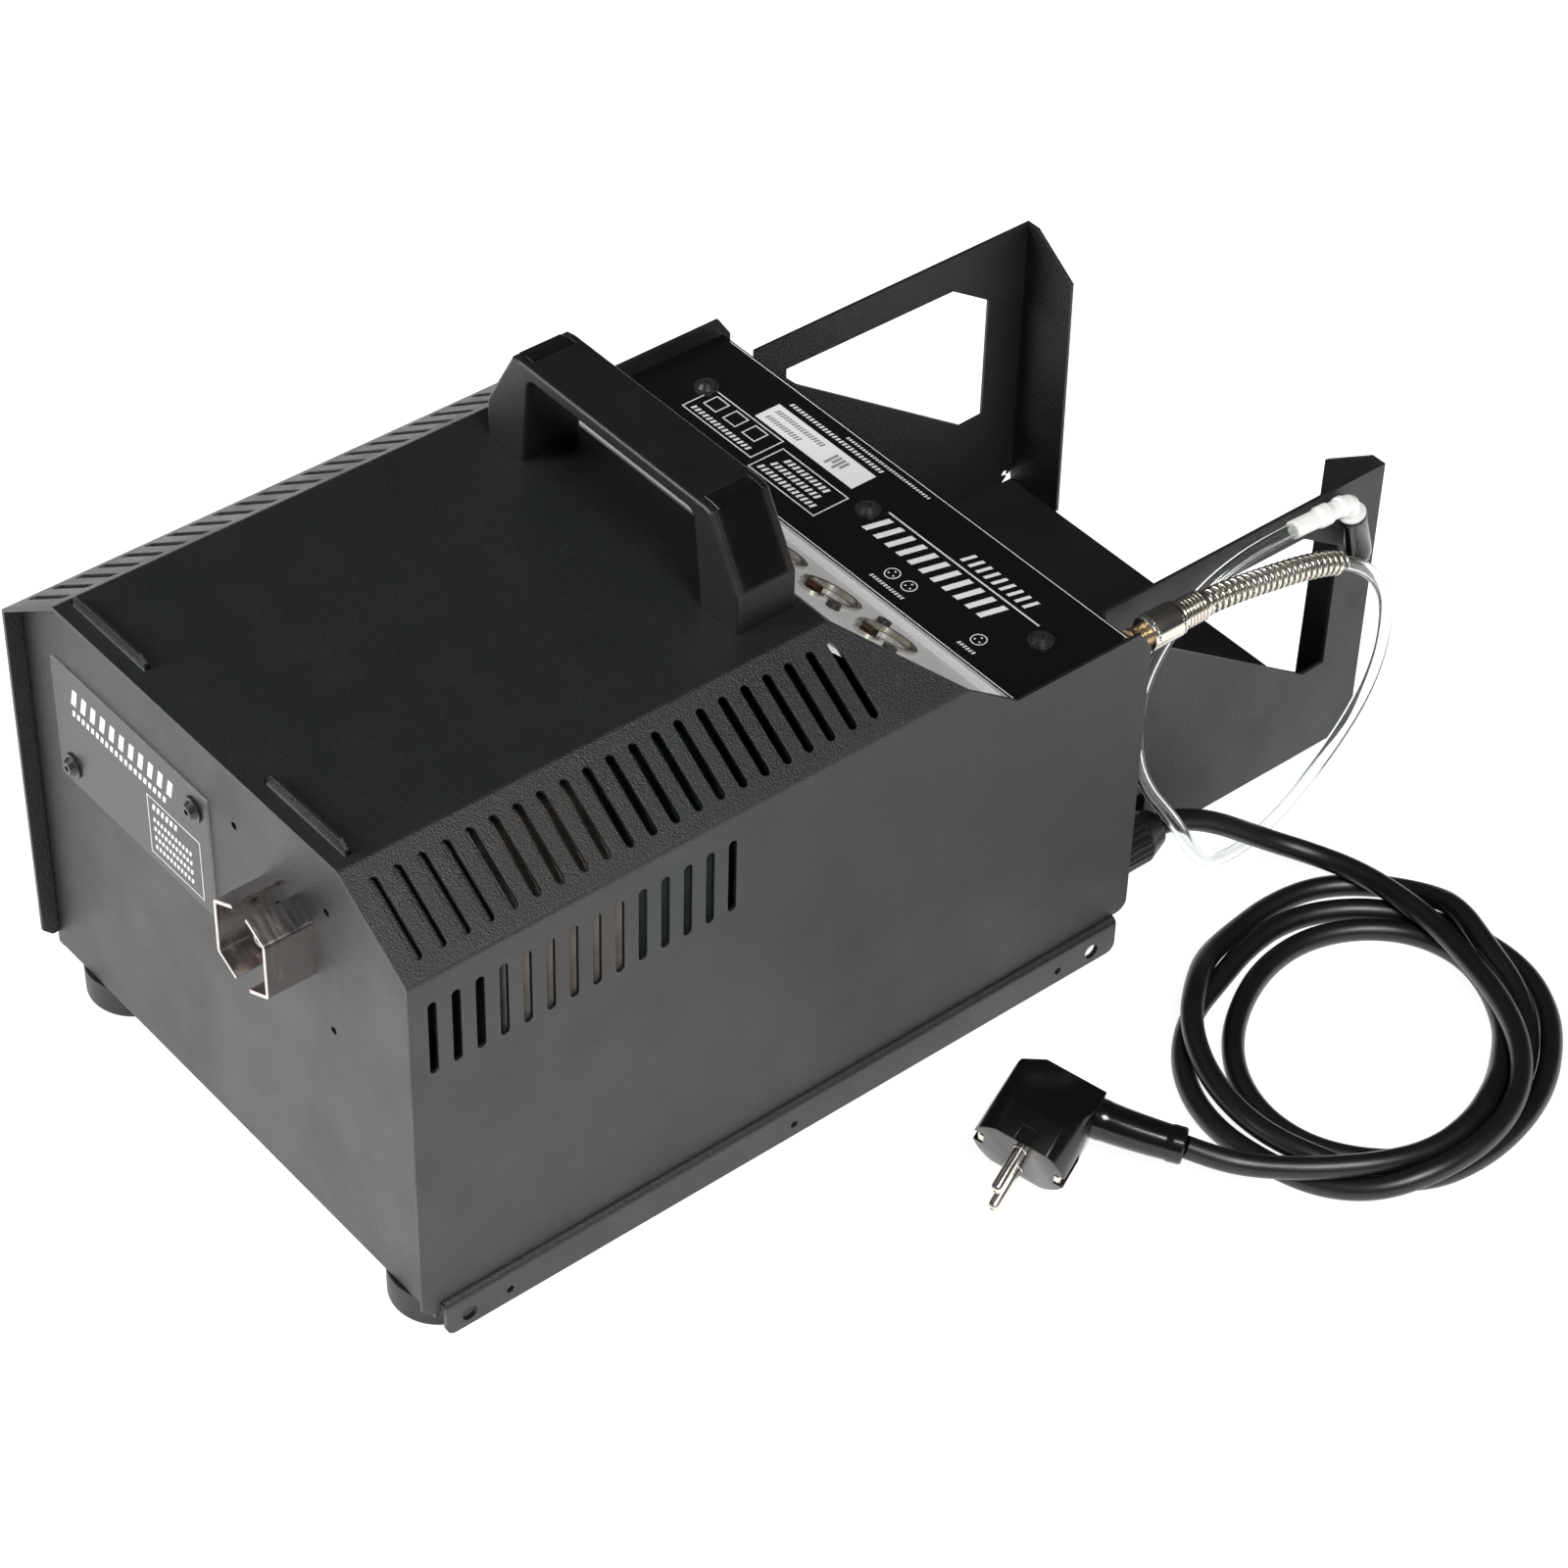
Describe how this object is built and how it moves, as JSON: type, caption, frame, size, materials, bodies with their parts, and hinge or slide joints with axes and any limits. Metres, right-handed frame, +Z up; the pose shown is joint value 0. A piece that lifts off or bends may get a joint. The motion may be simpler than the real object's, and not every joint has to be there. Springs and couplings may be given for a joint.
{
  "type": "fog machine",
  "caption": "Stage fog machine: folded sheet housing with vents, front nozzle in a heat guard, carrying handle, slanted socket panel, rear canister tray, coiled mains lead with plug.",
  "frame": {"origin": "Middle of the footprint without the cords, on the floor under the rubber feet.", "axes": "+Z is up. -Y is the face with the nozzle, +Y the canister tray. +X is the side with the hose coupling and the mains lead."},
  "size_m": [0.4268, 0.494, 0.2567],
  "materials": {
    "painted_body": "satin",
    "black_panel": "satin",
    "light_panel": "satin",
    "zinc_sheet": "brushed",
    "stainless": "brushed",
    "nickel": "polished",
    "black_screw": "gloss",
    "brass": "polished",
    "aluminium": "cast",
    "rubber_black": "matte",
    "plastic_black": "matte",
    "plastic_gloss": "gloss",
    "plastic_white": "gloss",
    "plastic_clear": "clear",
    "insulation": "woven",
    "board_green": "satin",
    "display_dark": "gloss",
    "latch_brown": "satin"
  },
  "bodies": {
    "housing": {"base_plate": "painted_body", "board_standoffs": "aluminium", "chassis_screws": "black_screw", "connector_panel": "light_panel", "control_board": "board_green", "control_plate": "black_panel", "coupling_nipple": "brass", "display_window": "display_dark", "fluid_hose": "plastic_clear", "front_panel": "painted_body", "gland_body": "plastic_black", "handle": "plastic_black", "handle_cap_left": "plastic_gloss", "handle_cap_right": "plastic_gloss", "handle_screws": "black_screw", "heater_brackets": "zinc_sheet", "heater_core": "aluminium", "heater_insulation": "insulation", "heating_elements": "zinc_sheet", "hose_cap": "plastic_gloss", "hose_elbow": "plastic_white", "hose_spring_guard": "stainless", "inlet_line": "rubber_black", "mains_coil": "rubber_black", "mains_lead": "rubber_black", "mains_tail": "rubber_black", "name_plate": "black_panel", "nozzle": "brass", "nozzle_guard_left": "stainless", "nozzle_guard_right": "stainless", "outlet_line": "stainless", "panel_screws": "black_screw", "plug_body": "plastic_gloss", "plug_pins": "nickel", "pump_body": "brass", "pump_bracket": "zinc_sheet", "pump_coil": "zinc_sheet", "pump_mounts": "rubber_black", "pump_spring": "stainless", "rear_panel": "black_panel", "rubber_feet": "rubber_black", "signal_socket_1": "nickel", "signal_socket_2": "nickel", "signal_socket_3": "nickel", "socket_screws": "black_screw", "thermostat": "zinc_sheet", "top_cover": "painted_body", "tray_floor": "black_panel", "tray_side_left": "black_panel", "tray_side_right": "black_panel"},
    "latch_1": {"socket_latch_1": "latch_brown"},
    "latch_2": {"socket_latch_2": "latch_brown"},
    "latch_3": {"socket_latch_3": "latch_brown"},
    "button_1": {"menu_button_1": "plastic_gloss"},
    "button_2": {"menu_button_2": "plastic_gloss"},
    "button_3": {"menu_button_3": "plastic_gloss"},
    "button_4": {"menu_button_4": "plastic_gloss"},
    "cable_nut": {"gland_nut": "plastic_black"},
    "hose_nut": {"coupling_nut": "nickel"},
    "piston": {"pump_piston": "stainless"}
  },
  "joints": [
    {"name": "latch_1_press", "type": "slide", "parent": "housing", "child": "latch_1", "axis": [0, -0.587, -0.8096], "range_m": [0, 0.0012], "stiffness_N_per_m": 400, "springref_m": -0.0005},
    {"name": "latch_2_press", "type": "slide", "parent": "housing", "child": "latch_2", "axis": [0, -0.587, -0.8096], "range_m": [0, 0.0012], "stiffness_N_per_m": 400, "springref_m": -0.0005},
    {"name": "latch_3_press", "type": "slide", "parent": "housing", "child": "latch_3", "axis": [0, -0.587, -0.8096], "range_m": [0, 0.0012], "stiffness_N_per_m": 400, "springref_m": -0.0005},
    {"name": "button_1_press", "type": "slide", "parent": "housing", "child": "button_1", "axis": [0, -0.587, -0.8096], "range_m": [0, 0.0008], "stiffness_N_per_m": 400, "springref_m": -0.0005},
    {"name": "button_2_press", "type": "slide", "parent": "housing", "child": "button_2", "axis": [0, -0.587, -0.8096], "range_m": [0, 0.0008], "stiffness_N_per_m": 400, "springref_m": -0.0005},
    {"name": "button_3_press", "type": "slide", "parent": "housing", "child": "button_3", "axis": [0, -0.587, -0.8096], "range_m": [0, 0.0008], "stiffness_N_per_m": 400, "springref_m": -0.0005},
    {"name": "button_4_press", "type": "slide", "parent": "housing", "child": "button_4", "axis": [0, -0.587, -0.8096], "range_m": [0, 0.0008], "stiffness_N_per_m": 400, "springref_m": -0.0005},
    {"name": "cable_nut_turn", "type": "hinge", "parent": "housing", "child": "cable_nut", "pos_m": [0.1115, 0.1162, 0.044], "axis": [0, 1, 0], "continuous": true},
    {"name": "hose_nut_turn", "type": "hinge", "parent": "housing", "child": "hose_nut", "pos_m": [0.1175, 0.1155, 0.1575], "axis": [0, 1, 0], "continuous": true},
    {"name": "piston_stroke", "type": "slide", "parent": "housing", "child": "piston", "axis": [0, -1, 0], "range_m": [0, 0.006], "stiffness_N_per_m": 800, "springref_m": -0.001}
  ]
}
